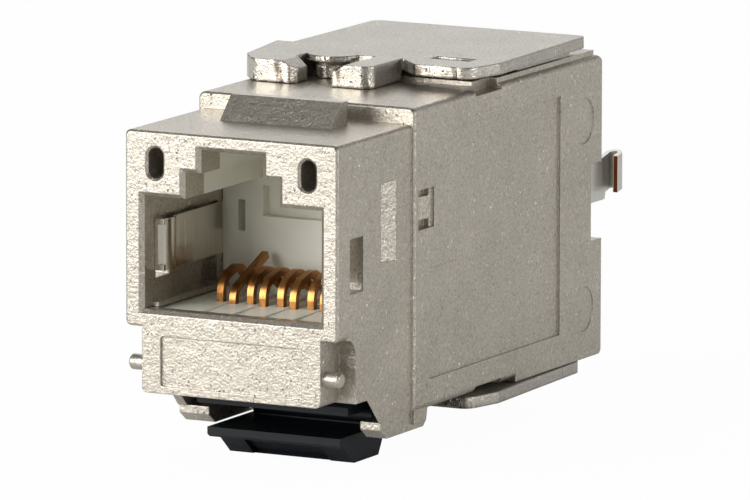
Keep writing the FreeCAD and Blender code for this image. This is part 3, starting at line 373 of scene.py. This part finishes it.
# Rear cap: cast in the same zinc as the housing, with an upper and a lower arm that hold it over the
# housing. The front ends of the arms are burnished, with soft rolled waves, and between the waves
# brown bands are painted as dark reflections of the room in the shiny faces.
arm_edge = 0.00024
burnish_start = -0.2
burnish_full = -0.5
burnished_rough = 0.18
wave_size = 0.0013
wave_depth = 0.00018
wave_stretch = (1.0, 1.0, 0.3)
# Painted reflection: where the brown bands start, where they are full, and how strong they are.
painted_reflection_start = 0.53
painted_reflection_full = 0.61
painted_reflection_share = 0.85
cap_zinc = cast_zinc("burnished_cast_zinc", pale="#C2BEB5", dark="#A7A299", rough=0.38, peel_strength=0.7,
                     edge_radius=arm_edge)
tree = cap_zinc.node_tree
shader = tree.nodes["Principled BSDF"]
cast_colour = shader.inputs["Base Color"].links[0].from_socket
cast_rough = shader.inputs["Roughness"].links[0].from_socket
cast_relief = shader.inputs["Normal"].links[0].from_socket
spots = add(tree, "ShaderNodeTexCoord", {}, {})
facing = add(tree, "ShaderNodeSeparateXYZ", {}, {0: spots.outputs["Normal"]})
burnish = add(tree, "ShaderNodeMapRange", {},
              {"Value": facing.outputs["Y"], "From Min": burnish_start, "From Max": burnish_full})
upward = add(tree, "ShaderNodeMapping", {}, {"Vector": spots.outputs["Object"], "Scale": wave_stretch})
waves = add(tree, "ShaderNodeTexNoise", {},
            {"Vector": upward.outputs[0], "Scale": 1 / wave_size, "Detail": 3, "Roughness": 0.45,
             "Distortion": 0.6})
shine = add(tree, "ShaderNodeMix", {}, {0: burnish.outputs[0], 2: cast_rough, 3: burnished_rough})
tree.links.new(shine.outputs[0], shader.inputs["Roughness"])
# Painted reflection: brown bands on the burnished front faces, set by the waves, stand in for the dark room
# mirrored there.
reflection_bands = add(tree, "ShaderNodeMapRange", {},
            {"Value": waves.outputs["Fac"], "From Min": painted_reflection_start, "From Max": painted_reflection_full,
             "To Max": painted_reflection_share})
front_reflections = add(tree, "ShaderNodeMath", {"operation": "MULTIPLY"}, {0: reflection_bands.outputs[0], 1: burnish.outputs[0]})
polished = add(tree, "ShaderNodeMix", {"data_type": "RGBA"},
               {0: burnish.outputs[0], 6: cast_colour, 7: paint("#C6C0B5")})
reflected_colour = add(tree, "ShaderNodeMix", {"data_type": "RGBA"},
             {0: front_reflections.outputs[0], 6: polished.outputs[2], 7: paint("#4E4136")})
tree.links.new(reflected_colour.outputs[2], shader.inputs["Base Color"])
rolled = add(tree, "ShaderNodeBump", {},
             {"Distance": wave_depth, "Height": waves.outputs["Fac"], "Normal": cast_relief})
relief = add(tree, "ShaderNodeMix", {"data_type": "VECTOR"},
             {0: burnish.outputs[0], 4: cast_relief, 5: rolled.outputs[0]})
tree.links.new(relief.outputs[1], shader.inputs["Normal"])
coat("rear_cap", cap_zinc)

# Cable clip: tinned bronze sheet, stamped out after tinning, so that its cut edges show bare metal. It
# is bent to fit behind the cap's wall, with an ear and a hook out of the notch at each side. The bare
# edge is drawn on the front of the ears, where it is seen.
ear_start = 0.00735
edge_facing = -0.85
clip_sheet = drawn_metal("tinned_sheet_bare_edges", pale="#E2E1DC", dark="#C3C1B9", rough=0.33,
                         line=0.0003, stretch=(1.0, 1.0, 0.2))
tree = clip_sheet.node_tree
shader = tree.nodes["Principled BSDF"]
tin = shader.inputs["Base Color"].links[0].from_socket
spots = add(tree, "ShaderNodeTexCoord", {}, {})
facing = add(tree, "ShaderNodeSeparateXYZ", {}, {0: spots.outputs["Normal"]})
front_edge = add(tree, "ShaderNodeMath", {"operation": "LESS_THAN"},
                 {0: facing.outputs["Y"], 1: edge_facing})
where = add(tree, "ShaderNodeSeparateXYZ", {}, {0: spots.outputs["Object"]})
reach = add(tree, "ShaderNodeMath", {"operation": "ABSOLUTE"}, {0: where.outputs["X"]})
on_ear = add(tree, "ShaderNodeMath", {"operation": "GREATER_THAN"}, {0: reach.outputs[0], 1: ear_start})
bare = add(tree, "ShaderNodeMath", {"operation": "MULTIPLY"},
           {0: front_edge.outputs[0], 1: on_ear.outputs[0]})
edged = add(tree, "ShaderNodeMix", {"data_type": "RGBA"},
            {0: bare.outputs[0], 6: tin, 7: paint("#8A4B2C")})
tree.links.new(edged.outputs[2], shader.inputs["Base Color"])
coat("cable_clip", clip_sheet)

# Latch: moulded in black glass-filled nylon, satin from the mould, with little shine. It turns on the
# pin under the nose, and its own finger springs it back.
black_nylon = moulded("black_filled_nylon", pale="#0B141B", dark="#050A0F", rough=0.5, grain=0.00015,
                      depth=0.00003)
black_nylon.node_tree.nodes["Principled BSDF"].inputs["Specular IOR Level"].default_value = 0.3
coat("latch", black_nylon)

# Latch pin: bright drawn steel wire, cut off and pressed across the housing's two feet. The lines of
# the drawing run along it.
coat("latch_pin", drawn_metal("drawn_steel_pin", pale="#C9CACB", dark="#A5A6A8", rough=0.25, line=0.0002,
                              stretch=(0.1, 1.0, 1.0)))
